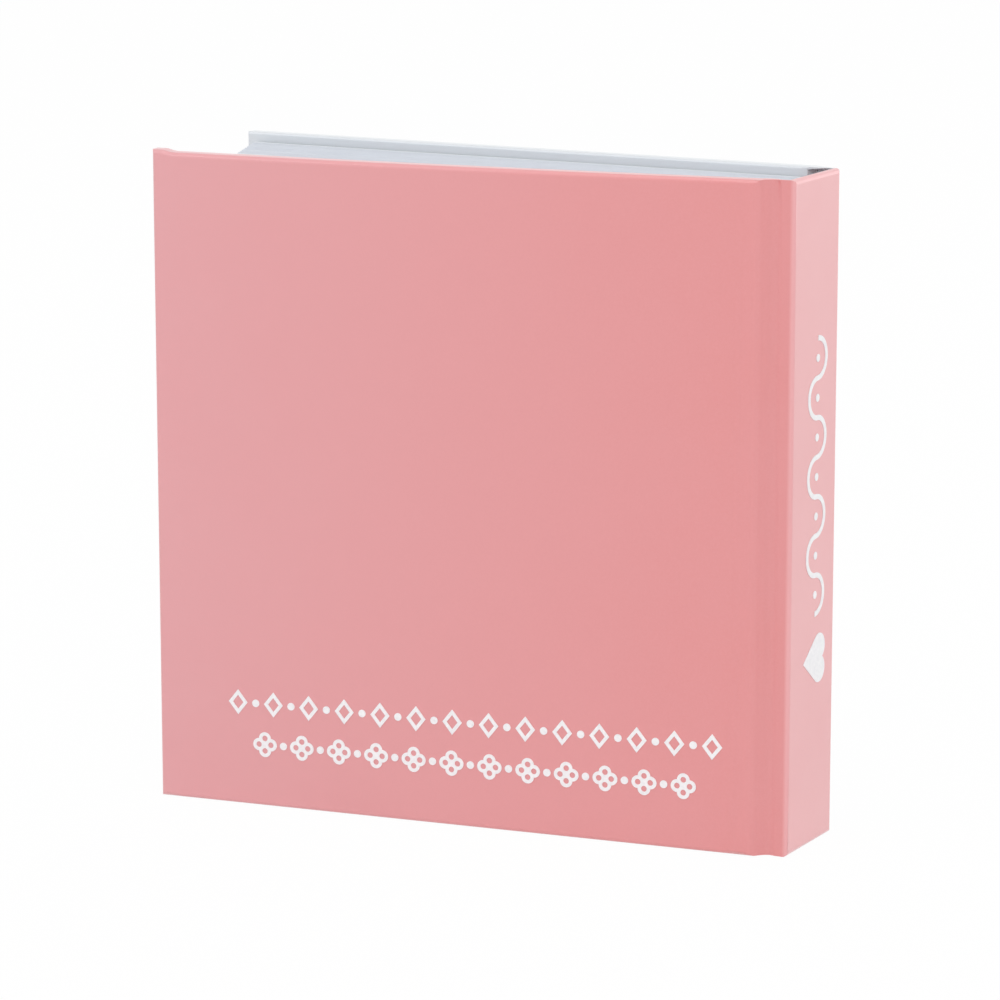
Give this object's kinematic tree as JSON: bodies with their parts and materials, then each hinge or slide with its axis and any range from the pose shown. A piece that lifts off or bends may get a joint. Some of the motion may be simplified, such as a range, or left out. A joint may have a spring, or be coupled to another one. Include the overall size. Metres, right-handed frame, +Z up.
{
  "type": "notepad",
  "caption": "Small square hardback notepad with a printed cover, hinged covers, boards, endpapers, spine lining and a glued pad of plain leaves.",
  "frame": {"origin": "middle of the box around the notepad, on the surface that it stands on", "axes": "+Z up along the spine, +X from the fore edge toward the spine, -Y out of the back cover"},
  "size_m": [0.1028, 0.0322, 0.102],
  "materials": {
    "pink_paper": "satin printed covering paper",
    "white_cover_paper": "satin covering paper",
    "endpaper": "matte",
    "leaves": "matte",
    "board": "matte pressed grey board",
    "lining": "open gauze on paper",
    "white_print": "raised white print"
  },
  "bodies": {
    "pad": {"page_block": "leaves", "back_flyleaf": "endpaper", "front_flyleaf": "endpaper", "spine_lining": "lining", "spine_board": "board", "spine_wrap": "pink_paper", "spine_print": "white_print"},
    "back_cover": {"back_board": "board", "back_cover_wrap": "pink_paper", "back_lining_flap": "lining", "back_pastedown": "endpaper", "back_cover_print": "white_print"},
    "front_cover": {"front_board": "board", "front_cover_wrap": "white_cover_paper", "front_lining_flap": "lining", "front_pastedown": "endpaper"}
  },
  "joints": [
    {"name": "back_cover_hinge", "type": "hinge", "parent": "pad", "child": "back_cover", "pos_m": [0.04655, -0.00342, 0.051], "axis": [0, 0, 1], "range_deg": [-7, 173]},
    {"name": "front_cover_hinge", "type": "hinge", "parent": "pad", "child": "front_cover", "pos_m": [0.04655, 0.01527, 0.051], "axis": [0, 0, -1], "range_deg": [0, 180]}
  ]
}
